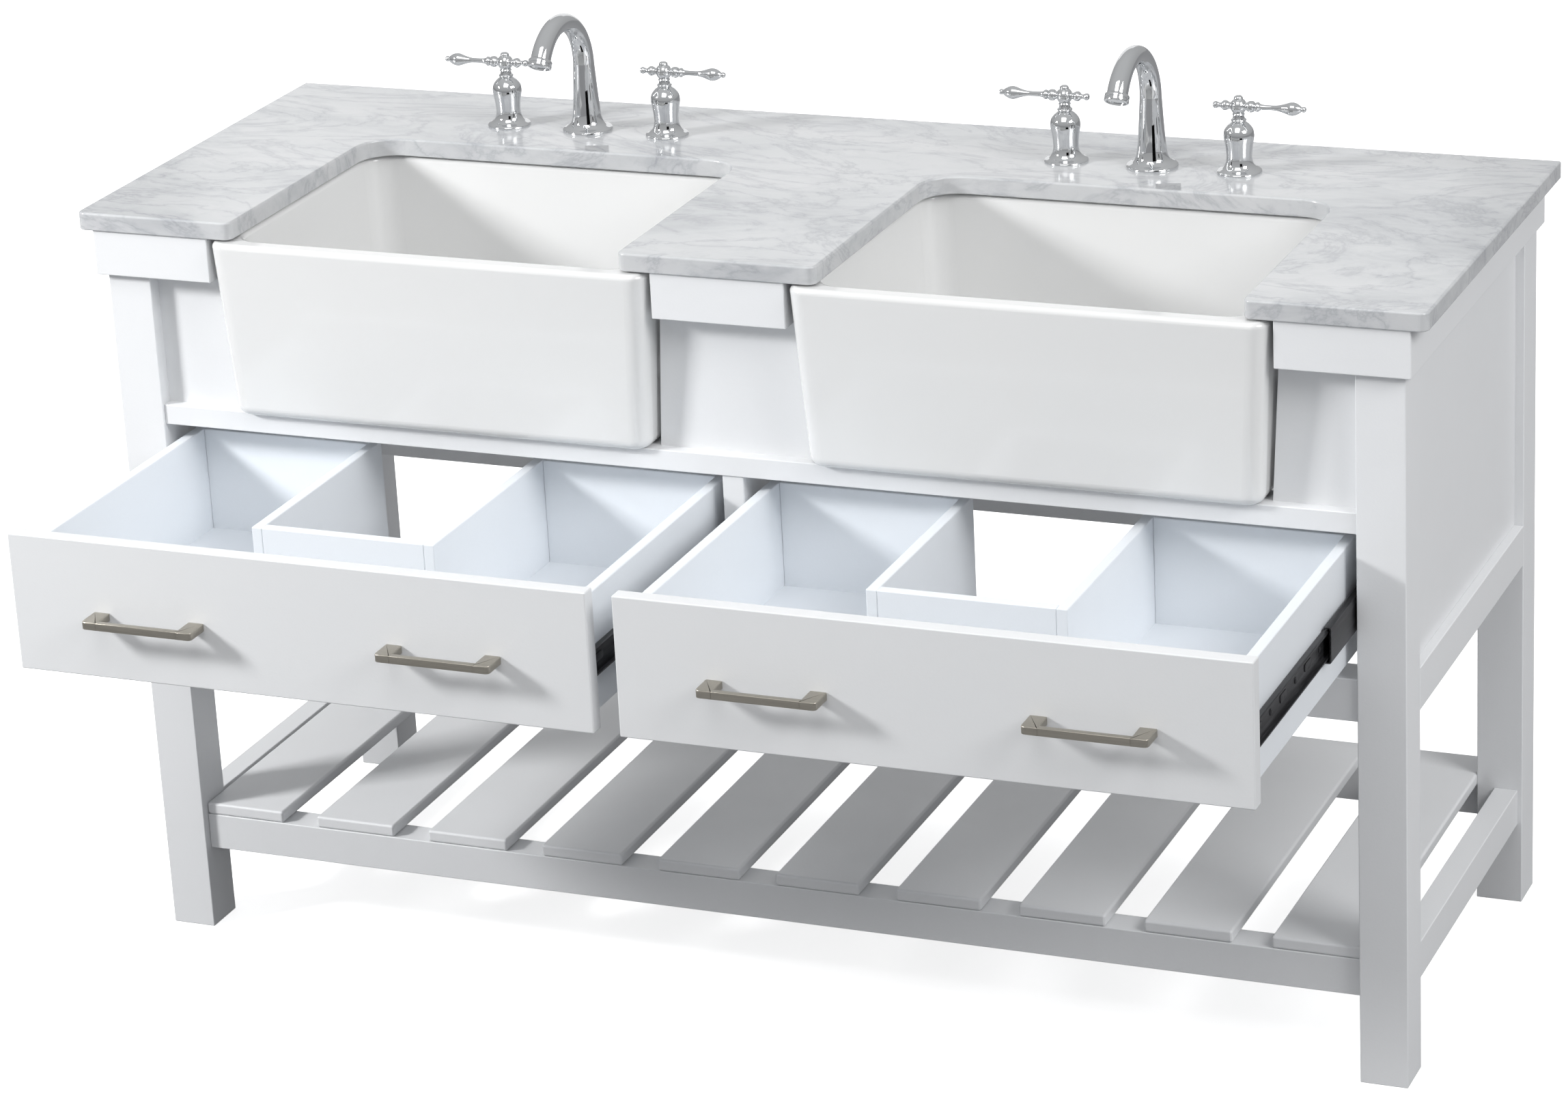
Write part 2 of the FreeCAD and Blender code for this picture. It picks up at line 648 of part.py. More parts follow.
# ---------------------------------------------------------------- drawers
def drawer_front(name, side):
    """The front board, drilled for the screws of its two pulls."""
    body = new_body("drawer_front_" + name)
    drawn = sketch(body, "XZ_Plane", -DRAWER_FRONT)
    rectangle(drawn, span(side, D.front_inner, D.front_outer), (D.front_bottom, D.front_top))
    pad(body, drawn, D.front_thick, reverse=True)
    round_edges(body, D.front_ease, lambda edge: True)
    holes = sketch(body, "XZ_Plane", -DRAWER_FRONT)
    for x in screw_places(side):
        circle(holes, x, D.pull_height, D.screw_radius + D.screw_fit)
    pocket(body, holes, D.front_thick)
    keep(body, "drawer_front_" + name)


def screw_places(side):
    """X of the four screws that hold a drawer's two pulls."""
    offset = D.pull_length / 2 - D.pull_post / 2
    return [(centre + shift) * side for centre in (D.pull_inner, D.pull_outer) for shift in (-offset, offset)]


def drawer_walls(name, side):
    """The two sides, and the walls at the rear and round the plumbing notch."""
    height = (D.box_bottom, D.box_top)
    depth = (BOX_FRONT, BOX_BACK)
    wall = D.wall_thick
    group("drawer_sides_" + name, [
        eased_box("drawer_inner_side_" + name, span(side, BOX_INNER, BOX_INNER + wall), depth, height),
        eased_box("drawer_outer_side_" + name, span(side, BOX_OUTER - wall, BOX_OUTER), depth, height)])
    notch_low = NOTCH_CENTRE - D.notch_width / 2
    notch_high = NOTCH_CENTRE + D.notch_width / 2
    rear = (BOX_BACK - wall, BOX_BACK)
    reach = (NOTCH_FRONT, BOX_BACK)
    tag = "_" + name
    group("drawer_rear_walls_" + name, [
        eased_box("rear_inner" + tag, span(side, BOX_INNER + wall, notch_low - wall), rear, height),
        eased_box("rear_outer" + tag, span(side, notch_high + wall, BOX_OUTER - wall), rear, height),
        eased_box("notch_inner" + tag, span(side, notch_low - wall, notch_low), reach, height),
        eased_box("notch_outer" + tag, span(side, notch_high, notch_high + wall), reach, height),
        eased_box("notch_front" + tag, span(side, notch_low, notch_high),
                  (NOTCH_FRONT, NOTCH_FRONT + wall), height)])


def drawer_bottom(name, side):
    """A U-shaped panel between the sides, open at the notch."""
    body = new_body("drawer_bottom_" + name)
    wall = D.wall_thick
    notch_low = NOTCH_CENTRE - D.notch_width / 2 - wall
    notch_high = NOTCH_CENTRE + D.notch_width / 2 + wall
    low = BOX_INNER + wall
    high = BOX_OUTER - wall
    rear = BOX_BACK - wall
    corners = [(low, BOX_FRONT), (high, BOX_FRONT), (high, rear), (notch_high, rear),
               (notch_high, NOTCH_FRONT), (notch_low, NOTCH_FRONT), (notch_low, rear), (low, rear)]
    drawn = sketch(body, "XY_Plane", D.panel_bottom)
    outline(drawn, [(x * side, y) for x, y in corners])
    pad(body, drawn, D.panel_thick)
    keep(body, "drawer_bottom_" + name)


def pull(name, x):
    """A square bar pull: a bar on two end posts, drilled from behind."""
    body = new_body("pull_" + name)
    half = D.pull_length / 2
    post = half - D.pull_post
    bar_back = -D.pull_standoff + D.pull_bar
    half_tall = D.pull_tall / 2
    drawn = sketch(body, "XY_Plane", -half_tall)
    outline(drawn, [(-half, 0), (-half, -D.pull_standoff), (half, -D.pull_standoff), (half, 0), (post, 0),
                    (post, bar_back), (-post, bar_back), (-post, 0)])
    pad(body, drawn, D.pull_tall)
    round_edges(body, D.pull_round, lambda edge: not near(edge.BoundBox.YMin, 0))
    holes = sketch(body, "XZ_Plane")
    for way in (-1, 1):
        circle(holes, (half - D.pull_post / 2) * way, 0, D.screw_radius + D.screw_fit)
    pocket(body, holes, D.screw_grip + 1, reverse=True)
    place(body, x, DRAWER_FRONT, D.pull_height)
    return body


def pull_screw(name, x):
    """A pan-head screw from inside the drawer front into a pull's post."""
    grip = D.front_thick + D.screw_grip
    body = turned_body("pull_screw_" + name, [
        (0, D.screw_head_thick), (D.screw_head - 1, D.screw_head_thick), (D.screw_head, 1),
        (D.screw_head, 0), (D.screw_radius, 0), (D.screw_radius, -grip), (0, -grip)])
    body.Placement = FreeCAD.Placement(FreeCAD.Vector(0, 0, 0),
                                       FreeCAD.Rotation(FreeCAD.Vector(1, 0, 0), -90))
    place(body, x, BOX_FRONT, D.pull_height)
    return body


def drawer(name, side):
    drawer_front(name, side)
    drawer_walls(name, side)
    drawer_bottom(name, side)
    centres = {"inner": D.pull_inner * side, "outer": D.pull_outer * side}
    group("pulls_" + name, [pull("%s_%s" % (name, which), x) for which, x in centres.items()])
    group("pull_screws_" + name, [pull_screw("%s_%d" % (name, number), x)
                                  for number, x in enumerate(screw_places(side), start=1)])


# ---------------------------------------------------------------- drawer slides
def channel(name, x, way, front, length, tall, deep):
    """A steel C-channel that runs front to back, its open side facing the given way along X."""
    body = new_body(name)
    half = tall / 2
    steel = D.steel
    corners = [(0, -half), (deep, -half), (deep, -half + steel), (steel, -half + steel),
               (steel, half - steel), (deep, half - steel), (deep, half), (0, half)]
    drawn = sketch(body, "XZ_Plane", -front)
    outline(drawn, [(across * way, height) for across, height in corners])
    pad(body, drawn, length, reverse=True)
    place(body, x, 0, D.slide_height)
    return body


def slides():
    """Three nested members on each side of each drawer: cabinet, middle and drawer member."""
    cabinet = []
    for name, side in SIDES.items():
        middle = []
        moving = []
        for which, wall_x, way in (("inner", D.partition_thick / 2, 1), ("outer", LEG_INNER, -1)):
            tag = "_%s_%s" % (name, which)
            turn = way * side
            cabinet.append(channel("cabinet_member" + tag, wall_x * side, turn, -D.outer_front,
                                   D.outer_length, D.outer_tall, D.outer_deep))
            middle_x = (wall_x + D.middle_set * way) * side
            middle.append(channel("middle_member" + tag, middle_x, turn, -D.middle_front,
                                  D.middle_length, D.middle_tall, D.middle_deep))
            drawer_x = (wall_x + D.slide_space * way) * side
            moving.append(channel("drawer_member" + tag, drawer_x, -turn, BOX_FRONT + 2,
                                  D.inner_length, D.inner_tall, D.inner_deep))
        group("slide_middle_" + name, middle)
        group("slide_drawer_" + name, moving)
    group("slide_cabinet_members", cabinet)


# ---------------------------------------------------------------- the whole vanity
def build():
    legs()
    sides()
    front_rails()
    rear_rails()
    slide_cleats()
    cornice()
    fascias()
    shelf()
    countertop()
    for name, side in SIDES.items():
        sink(name, side)
    drains()
    faucets()
    for name, side in SIDES.items():
        drawer(name, side)
    slides()
    doc.recompute()


def check():
    """Stop before anything is written if an object failed or a sub-part is unsound."""
    for item in doc.Objects:
        if "Invalid" in item.State or "Error" in item.State:
            raise RuntimeError("failed object: " + item.Label)
    for item in nodes:
        if item.Shape.isNull() or not item.Shape.isValid():
            raise RuntimeError("unsound shape: " + item.Label)


def write():
    os.makedirs("parts", exist_ok=True)
    for item in nodes:
        item.Shape.exportStep("parts/%s.step" % item.Label)
    print(len(nodes), "sub-parts written")


build()
check()
write()
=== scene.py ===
import json
import math
from math import cos, pi, radians, sin

import bmesh
import bpy
from mathutils import Matrix, Vector


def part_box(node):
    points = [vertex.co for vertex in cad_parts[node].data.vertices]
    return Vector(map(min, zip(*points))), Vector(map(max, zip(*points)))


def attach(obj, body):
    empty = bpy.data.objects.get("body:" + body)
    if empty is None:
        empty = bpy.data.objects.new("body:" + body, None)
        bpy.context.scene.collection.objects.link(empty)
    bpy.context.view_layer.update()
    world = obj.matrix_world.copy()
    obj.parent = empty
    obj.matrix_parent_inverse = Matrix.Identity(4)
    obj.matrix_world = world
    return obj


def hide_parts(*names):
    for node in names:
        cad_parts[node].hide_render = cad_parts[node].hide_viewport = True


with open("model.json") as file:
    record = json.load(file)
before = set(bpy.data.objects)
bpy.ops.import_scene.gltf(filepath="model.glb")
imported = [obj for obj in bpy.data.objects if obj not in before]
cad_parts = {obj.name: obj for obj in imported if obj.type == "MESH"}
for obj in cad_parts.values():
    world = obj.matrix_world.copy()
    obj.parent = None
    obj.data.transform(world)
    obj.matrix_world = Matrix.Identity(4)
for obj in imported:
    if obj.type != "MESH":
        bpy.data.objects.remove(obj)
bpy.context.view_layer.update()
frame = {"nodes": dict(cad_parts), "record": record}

nodes = frame["nodes"]


# ---------------------------------------------------------------- material helpers
class Shader:
    """A small wrapper that keeps node trees readable."""

    def __init__(self, name):
        self.material = bpy.data.materials.new(name)
        self.material.use_nodes = True
        self.tree = self.material.node_tree
        self.principled = self.tree.nodes["Principled BSDF"]
        self.place = self.add("ShaderNodeTexCoord").outputs["Object"]

    def add(self, kind, **settings):
        node = self.tree.nodes.new(kind)
        for key, value in settings.items():
            setattr(node, key, value)
        return node

    def link(self, source, target):
        self.tree.links.new(source, target)

    def fixed(self, **values):
        """Constants on the shader's own sockets, such as Roughness=0.4."""
        for key, value in values.items():
            self.principled.inputs[key.replace("_", " ")].default_value = value

    def stretched(self, x=1.0, y=1.0, z=1.0, turn=(0, 0, 0)):
        """Object coordinates with a scale and a turn."""
        mapping = self.add("ShaderNodeMapping")
        mapping.inputs["Scale"].default_value = (x, y, z)
        mapping.inputs["Rotation"].default_value = turn
        self.link(self.place, mapping.inputs["Vector"])
        return mapping.outputs["Vector"]

    def noise(self, scale, detail=4.0, rough=0.5, warp=0.0, at=None):
        node = self.add("ShaderNodeTexNoise")
        node.inputs["Scale"].default_value = scale
        node.inputs["Detail"].default_value = detail
        node.inputs["Roughness"].default_value = rough
        node.inputs["Distortion"].default_value = warp
        self.link(at if at is not None else self.place, node.inputs["Vector"])
        return node.outputs["Fac"]

    def ramp(self, factor, *stops):
        """A colour ramp through (position, grey or colour) stops."""
        node = self.add("ShaderNodeValToRGB")
        elements = node.color_ramp.elements
        while len(elements) < len(stops):
            elements.new(0.5)
        for element, (position, tint) in zip(elements, stops):
            element.position = position
            colour = (tint,) * 3 if isinstance(tint, (int, float)) else tint
            element.color = (*colour, 1.0)
        self.link(factor, node.inputs["Fac"])
        return node.outputs["Color"]

    def spread(self, factor, low, high):
        """A 0 to 1 value stretched between two numbers."""
        node = self.add("ShaderNodeMapRange")
        node.inputs["To Min"].default_value = low
        node.inputs["To Max"].default_value = high
        self.link(factor, node.inputs["Value"])
        return node.outputs["Result"]

    def math(self, operation, first, second):
        node = self.add("ShaderNodeMath", operation=operation)
        for socket, value in zip(node.inputs, (first, second)):
            if isinstance(value, (int, float)):
                socket.default_value = value
            else:
                self.link(value, socket)
        return node.outputs["Value"]

    def mix(self, first, second, factor, blend="MIX"):
        node = self.add("ShaderNodeMix", data_type="RGBA", blend_type=blend)
        for socket, value in ((node.inputs["Factor"], factor), (node.inputs[6], first),
                              (node.inputs[7], second)):
            if isinstance(value, (int, float)):
                socket.default_value = value
            elif isinstance(value, tuple):
                socket.default_value = (*value, 1.0)
            else:
                self.link(value, socket)
        return node.outputs[2]

    def bump(self, height, strength, distance):
        node = self.add("ShaderNodeBump")
        node.inputs["Strength"].default_value = strength
        node.inputs["Distance"].default_value = distance
        self.link(height, node.inputs["Height"])
        self.link(node.outputs["Normal"], self.principled.inputs["Normal"])

    def colour(self, source):
        self.link(source, self.principled.inputs["Base Color"])

    def roughness(self, source):
        self.link(source, self.principled.inputs["Roughness"])


# ---------------------------------------------------------------- materials
def lacquer(name, light, shade, grain):
    """Sprayed lacquer: faint mottling, an orange-peel skin and the ghost of the grain below."""
    s = Shader(name)
    mottle = s.noise(9.0, 5.0, 0.6)
    s.colour(s.mix(light, shade, mottle))
    s.roughness(s.spread(s.noise(35.0, 3.0), 0.34, 0.46))
    peel = s.noise(420.0, 2.0, 0.5)
    wood = s.noise(60.0, 6.0, 0.6, 0.4, at=s.stretched(*grain))
    s.bump(s.math("ADD", peel, s.math("MULTIPLY", wood, 0.6)), 0.16, 0.0006)
    s.fixed(Coat_Weight=0.15, Coat_Roughness=0.25)
    return s.material


def marble():
    """Polished pale marble: soft grey clouds drawn out along X, with a few faint threads."""
    s = Shader("marble_polished")
    along = s.stretched(1.0, 2.0, 2.0, (0, 0, radians(14)))
    clouds = s.noise(3.0, 9.0, 0.62, 0.8, at=along)
    fine = s.noise(13.0, 9.0, 0.70, 1.2, at=along)
    base = s.ramp(clouds, (0.30, (0.44, 0.45, 0.465)), (0.47, (0.525, 0.535, 0.545)),
                  (0.64, (0.57, 0.575, 0.583)))
    veil = s.ramp(fine, (0.30, (0.74, 0.75, 0.77)), (0.52, 1.0))
    tone = s.mix(base, veil, 0.62, "MULTIPLY")
    ridge = s.math("ABSOLUTE", s.math("SUBTRACT", s.noise(3.8, 8.0, 0.62, 1.8, at=along), 0.5), 0.0)
    threads = s.ramp(ridge, (0.0, (0.58, 0.59, 0.62)), (0.018, (0.86, 0.86, 0.88)), (0.05, 1.0))
    s.colour(s.mix(tone, threads, 0.5, "MULTIPLY"))
    s.roughness(s.spread(s.noise(60.0, 4.0), 0.14, 0.26))
    s.bump(s.noise(180.0, 3.0), 0.05, 0.0004)
    s.fixed(Coat_Weight=0.2, Coat_Roughness=0.10)
    return s.material


def glaze():
    """White vitreous glaze, a little uneven, over fireclay."""
    s = Shader("fireclay_glaze")
    cloud = s.noise(5.0, 3.0)
    s.colour(s.mix((0.735, 0.735, 0.73), (0.715, 0.72, 0.72), cloud))
    s.roughness(s.spread(s.noise(14.0, 3.0), 0.10, 0.20))
    s.bump(s.noise(22.0, 2.0), 0.12, 0.0015)
    s.fixed(Coat_Weight=0.5, Coat_Roughness=0.05, IOR=1.52)
    return s.material


def plated(name, tint, low, high):
    """Smooth plated metal with the faintest unevenness, its roughness between low and high."""
    s = Shader(name)
    s.colour(s.mix(tint, tuple(0.93 * part for part in tint), s.noise(12.0, 3.0)))
    s.roughness(s.spread(s.noise(90.0, 3.0), low, high))
    s.bump(s.noise(30.0, 2.0), 0.03, 0.0004)
    s.fixed(Metallic=1.0)
    return s.material


def brushed(name, light, dark):
    """Brushed metal with hairlines along X."""
    s = Shader(name)
    lines = s.noise(900.0, 3.0, 0.6, at=s.stretched(0.03, 1.0, 1.0))
    s.colour(s.mix(dark, light, lines))
    s.roughness(s.spread(lines, 0.24, 0.42))
    s.bump(lines, 0.10, 0.0002)
    s.fixed(Metallic=1.0)
    return s.material


def black_steel():
    """Black e-coated steel, rubbed where the members run."""
    s = Shader("slide_black_coat")
    rub = s.noise(260.0, 4.0, 0.7, at=s.stretched(1.0, 0.05, 1.0))
    s.colour(s.ramp(rub, (0.45, (0.018, 0.018, 0.020)), (0.75, (0.075, 0.075, 0.08))))
    s.roughness(s.spread(rub, 0.28, 0.5))
    s.bump(s.noise(500.0, 2.0), 0.06, 0.0002)
    s.fixed(Metallic=0.35)
    return s.material


GRAIN_X = (0.06, 1.0, 1.0)
GRAIN_Y = (1.0, 0.06, 1.0)
GRAIN_Z = (1.0, 1.0, 0.06)
WHITE = (0.76, 0.768, 0.78)
WHITE_SHADE = (0.735, 0.743, 0.755)
PAINT = lacquer("cabinet_lacquer", WHITE, WHITE_SHADE, GRAIN_Z)
PAINT_X = lacquer("cabinet_lacquer_rails", WHITE, WHITE_SHADE, GRAIN_X)
PAINT_Y = lacquer("cabinet_lacquer_shelf", WHITE, WHITE_SHADE, GRAIN_Y)
# The drawer boxes take a paler, bluer copy of the cabinet white: painted light, standing in for the bright
# bluish light inside the drawers.
BOX_PAINT_LIT = lacquer("drawer_lacquer_lit", (0.775, 0.805, 0.84), (0.76, 0.79, 0.825), GRAIN_Y)
# The drawer fronts take a darker copy of the cabinet white: painted shade, standing in for the dimmer light
# on the fronts.
FRONT_PAINT_SHADED = lacquer("drawer_front_lacquer_shaded", (0.72, 0.728, 0.738), (0.70, 0.71, 0.72), GRAIN_X)
MARBLE = marble()
GLAZE = glaze()
CHROME = plated("chrome_mirror", (0.78, 0.79, 0.80), 0.03, 0.06)
NICKEL = brushed("nickel_brushed", (0.50, 0.47, 0.41), (0.36, 0.335, 0.29))
BLACK = black_steel()
BRASS = plated("brass_turned", (0.70, 0.52, 0.26), 0.22, 0.35)
ZINC = plated("zinc_plated", (0.62, 0.62, 0.60), 0.25, 0.4)

# The drawer_white slot takes the paler, bluer copy of the white, which is painted light.
BY_SLOT = {"white_paint": PAINT, "drawer_white": BOX_PAINT_LIT, "marble": MARBLE, "sink_glaze": GLAZE,
           "chrome": CHROME, "nickel": NICKEL, "slide_black": BLACK, "brass": BRASS, "zinc": ZINC}
ALONG_X = ("front_upper_rail", "front_lower_rail", "back_upper_rail", "back_lower_rail", "sink_rear_rail",
           "shelf_front_stretcher", "shelf_rear_stretcher",
           "cornice_front_left", "cornice_front_centre", "cornice_front_right")
ALONG_Y = ("shelf_slats", "shelf_side_stretchers", "side_rail_left", "side_rail_right", "slide_cleats",
           "cornice_side_left", "cornice_side_right", "centre_partition")


def paint_frame():
    """Give every CAD node the finish of its slot, the lacquered boards with their grain lengthways."""
    for part in frame["record"]["subparts"]:
        finish = BY_SLOT[part["material_slot"]]
        # Drawer fronts get the darker copy of the white, which is painted shade.
        if part["node"].startswith("drawer_front_"):
            finish = FRONT_PAINT_SHADED
        elif part["node"] in ALONG_X:
            finish = PAINT_X
        elif part["node"] in ALONG_Y:
            finish = PAINT_Y
        mesh = nodes[part["node"]].data
        mesh.materials.clear()
        mesh.materials.append(finish)


# ---------------------------------------------------------------- shape helpers
MM = 0.001
MERGE = 1e-6
CREASE = radians(38)


def smooth_line(points, steps=5):
    """A curve through the given points. A point given twice makes a corner."""
    points = [Vector(point) for point in points]
    last = len(points) - 1
    line = []
    for index in range(last):
        start = points[index]
        end = points[index + 1]
        if (end - start).length < 1e-6:
            continue
        leave = (end - points[max(index - 1, 0)]) / 2
        arrive = (points[min(index + 2, last)] - start) / 2
        for step in range(steps):
            t = step / steps
            ahead = t * t * (3 - 2 * t)
            line.append(start + (end - start) * ahead + leave * t * (1 - t) ** 2 - arrive * t * t * (1 - t))
    line.append(points[last])
    return line


def thread(radius, low, high, pitch, depth):
    """Radius and height points of a threaded stretch, lowest first."""
    points = [(radius - depth, low)]
    height = low + pitch / 2
    while height < high - pitch:
        points += [(radius, height), (radius - depth, height + pitch / 2)]
        height += pitch
    points.append((radius, high))
    return points


class Shape:
    """Vertices and faces gathered in millimetres from several forms, and made into one piece."""

    def __init__(self):
        self.points = []
        self.faces = []

    def add(self, points, faces, move=Matrix()):
        """Take in points in millimetres, moved, and the faces between them."""
        first = len(self.points)
        self.points += [MM * (move @ Vector(point)) for point in points]
        self.faces += [[first + corner for corner in face] for face in faces]

    def rings(self, rings, move=Matrix()):
        """Skin a row of equal rings and cap both ends."""
        count = len(rings[0])
        faces = []
        for row in range(len(rings) - 1):
            here = row * count
            there = here + count
            for side in range(count):
                turn = (side + 1) % count
                faces.append((here + side, here + turn, there + turn, there + side))
        faces.append(tuple(reversed(range(count))))
        faces.append(tuple(range((len(rings) - 1) * count, len(rings) * count)))
        self.add([point for ring in rings for point in ring], faces, move)

    def turned(self, profile, move=Matrix(), sides=40):
        """A form turned about Z from (radius, height) points."""
        angles = [2 * pi * side / sides for side in range(sides)]
        self.rings([[(max(radius, 0.01) * cos(angle), max(radius, 0.01) * sin(angle), height)
                     for angle in angles] for radius, height in profile], move)

    def tube(self, centres, radii, move=Matrix(), sides=40):
        """A round tube of changing radius along points in the YZ plane."""
        rings = []
        last = len(centres) - 1
        across = Vector((1, 0, 0))
        angles = [2 * pi * side / sides for side in range(sides)]
        for index, (centre, radius) in enumerate(zip(centres, radii)):
            ahead = (centres[min(index + 1, last)] - centres[max(index - 1, 0)]).normalized()
            other = ahead.cross(across)
            rings.append([centre + radius * (cos(angle) * across + sin(angle) * other) for angle in angles])
        self.rings(rings, move)

    def from_bmesh(self, work, move=Matrix()):
        """Take over a working mesh and free it."""
        work.verts.index_update()
        points = [vertex.co.copy() for vertex in work.verts]
        faces = [[vertex.index for vertex in face.verts] for face in work.faces]
        work.free()
        self.add(points, faces, move)

    def prism(self, outline, low, high, ease, move=Matrix()):
        """An outline in X and Y, raised from low to high, its level edges rounded."""
        work = bmesh.new()
        base = work.faces.new([work.verts.new((x, y, low)) for x, y in outline])
        raised = bmesh.ops.extrude_face_region(work, geom=[base])["geom"]
        corners = [part for part in raised if isinstance(part, bmesh.types.BMVert)]
        bmesh.ops.translate(work, vec=(0, 0, high - low), verts=corners)
        edges = [edge for edge in work.edges if abs(edge.verts[0].co.z - edge.verts[1].co.z) < 1e-6]
        bmesh.ops.bevel(work, geom=edges, offset=ease, segments=3, profile=0.5, affect="EDGES")
        self.from_bmesh(work, move)

    def piece(self, name, slot, body, node):
        """One named mesh in the finish of its slot, riding on a body in place of a CAD node."""
        mesh = bpy.data.meshes.new(name)
        mesh.from_pydata(self.points, [], self.faces)
        work = bmesh.new()
        work.from_mesh(mesh)
        bmesh.ops.remove_doubles(work, verts=work.verts, dist=MERGE)
        bmesh.ops.recalc_face_normals(work, faces=work.faces)
        work.to_mesh(mesh)
        work.free()
        mesh.shade_smooth()
        mesh.set_sharp_from_angle(angle=CREASE)
        mesh.materials.append(BY_SLOT[slot])
        made = bpy.data.objects.new(name, mesh)
        bpy.context.scene.collection.objects.link(made)
        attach(made, body)
        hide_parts(node)


def moved(x, y, z, turn=0.0, axis="Z"):
    """A turn about one axis and then a shift, in millimetres."""
    return Matrix.Translation((x, y, z)) @ Matrix.Rotation(turn, 4, axis)


# ---------------------------------------------------------------- faucets
SIDES = ("left", "right")
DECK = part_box("countertop")[1][2] / MM
FLANGE = 28.5             # radius of a spout's foot
SPREAD = 99.0             # from the spout to each valve
STRAIGHT = 79.0           # from the deck to the start of the arc
ARC = 60.0                # radius of the gooseneck's centre line
OUTLET_RISE = 32.0        # from the start of the arc to the outlet
HANDLE = 74.0             # from the deck to the middle of a lever


def deck_place(name):
    """X and Y of a spout's riser, from the widest part of its base."""
    low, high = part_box("faucet_spout_" + name)
    return (low[0] + high[0]) / 2 / MM, high[1] / MM - FLANGE


def shank():
    """The threaded shank below the deck and its plain neck, as radius and height points."""
    return thread(10.3, -62, -31, 1.8, 0.5) + [(11.5, -30), (11.5, 0)]


def spout(name):
    """A gooseneck that thins towards its crown, on a flared foot with a threaded shank."""
    x, y = deck_place(name)
    here = moved(x, y, DECK)
    shape = Shape()
    foot = smooth_line([(FLANGE, 0), (FLANGE, 0), (FLANGE, 2.4), (26.5, 4.2), (22.0, 6.2), (18.6, 10.0),
                        (16.6, 17), (15.4, 27), (14.4, 40), (13.4, 55), (12.4, 72), (12.0, STRAIGHT)])
    shape.turned(shank() + foot, here, 48)
    waist = smooth_line([(0, 12.0), (0.3, 11.2), (0.55, 10.7), (0.8, 10.8), (1, 11.4)], 10)
    steps = len(waist) - 1
    end = pi - math.asin(OUTLET_RISE / ARC)
    turns = [end * step / steps for step in range(steps + 1)]
    centres = [Vector((0, -ARC + ARC * cos(turn), STRAIGHT + ARC * sin(turn))) for turn in turns]
    shape.tube(centres, [radius for share, radius in waist], here, 48)
    shape.piece("spout_gooseneck_" + name, "chrome", "cabinet", "faucet_spout_" + name)


def outlet_collars():
    """Stepped aerator collars at the ends of the spouts."""
    shape = Shape()
    lean = math.asin(OUTLET_RISE / ARC)
    for name in SIDES:
        x, y = deck_place(name)
        here = moved(x, y - ARC - ARC * cos(lean), DECK + STRAIGHT + OUTLET_RISE, -lean, "X")
        shape.turned([(10.6, -7.4), (10.9, -8.9), (12.6, -9), (13.3, -8.4), (13.5, -7.4), (13.4, -5.4),
                      (12.7, -4.9), (12.7, -4.3), (13.4, -3.8), (13.4, -1.4), (12.8, -0.3), (11.6, 0)],
                     here, 48)
    shape.piece("spout_aerators", "chrome", "cabinet", "aerators")


def valve_bodies():
    """Bell-shaped valve bodies with a flared foot, a ringed neck and the stem that a lever turns on."""
    shape = Shape()
    bell = smooth_line([(24.5, 0), (24.5, 0), (24.5, 1.8), (22.8, 3.4), (18.8, 5.4), (15.8, 9.0), (14.3, 14),
                        (13.9, 19), (14.7, 28), (16.2, 37), (16.6, 42), (15.4, 48), (11.8, 53), (8.4, 55.8),
                        (7.0, 57.0), (7.0, 57.0), (8.1, 57.8), (8.3, 58.9), (7.6, 59.9), (6.4, 60.5),
                        (6.4, 60.5), (6.0, 63.3), (6.0, 63.3)])
    profile = shank() + bell + [(3, 63.4), (3, HANDLE - 3)]
    for name in SIDES:
        x, y = deck_place(name)
        for way in (-1, 1):
            shape.turned(profile, moved(x + SPREAD * way, y, DECK), 44)
    shape.piece("valve_bells", "chrome", "cabinet", "valve_bodies")


def lever(name, kind, way):
    """A ball hub with a cap, a beaded teardrop arm outwards and a short beaded tail inwards."""
    x, y = deck_place(name)
    here = moved(x + SPREAD * way, y, DECK + HANDLE, 0 if way > 0 else pi)
    shape = Shape()
    hub = smooth_line([(4.6, -10), (4.6, -10), (6.6, -9.6), (6.4, -8.4), (5.8, -7.4), (7.0, -6.0),
                       (8.7, -2.6), (9.0, 0), (8.7, 2.6), (6.9, 6.0), (4.9, 7.5), (4.9, 7.5), (5.0, 9.0),
                       (4.2, 10.6), (2.2, 11.8), (0, 12)])
    shape.turned(hub, here)
    along = here @ Matrix.Rotation(pi / 2, 4, "Y")
    arm = smooth_line([(4.6, 5), (4.4, 9.5), (5.9, 11.6), (6.4, 14.4), (5.6, 17.2), (3.7, 18.6), (3.7, 18.6),
                       (5.1, 20.2), (5.3, 22.2), (3.9, 24), (3.0, 27), (2.7, 35), (3.0, 43), (4.6, 50),
                       (6.9, 57), (7.3, 60.5), (6.2, 65), (3.9, 69), (2.4, 70.6), (2.4, 70.6), (3.1, 72.4),
                       (2.6, 74.8), (0, 76)])
    shape.turned(arm, along, 32)
    tail = smooth_line([(0, -29), (2.9, -28), (3.9, -25.6), (3.1, -23), (2.5, -21.6), (2.9, -19.4),
                        (5.2, -16.8), (5.6, -14.4), (4.7, -12), (3.7, -10), (4.2, -5)])
    shape.turned(tail, along, 32)
    tag = "%s_%s" % (name, kind)
    shape.piece("lever_handle_" + tag, "chrome", "lever_" + tag, "lever_" + tag)


def faucets():
    """Both faucets: spouts, levers, outlet collars and valve bodies."""
    for name in SIDES:
        spout(name)
        lever(name, "hot", -1)
        lever(name, "cold", 1)
    outlet_collars()
    valve_bodies()


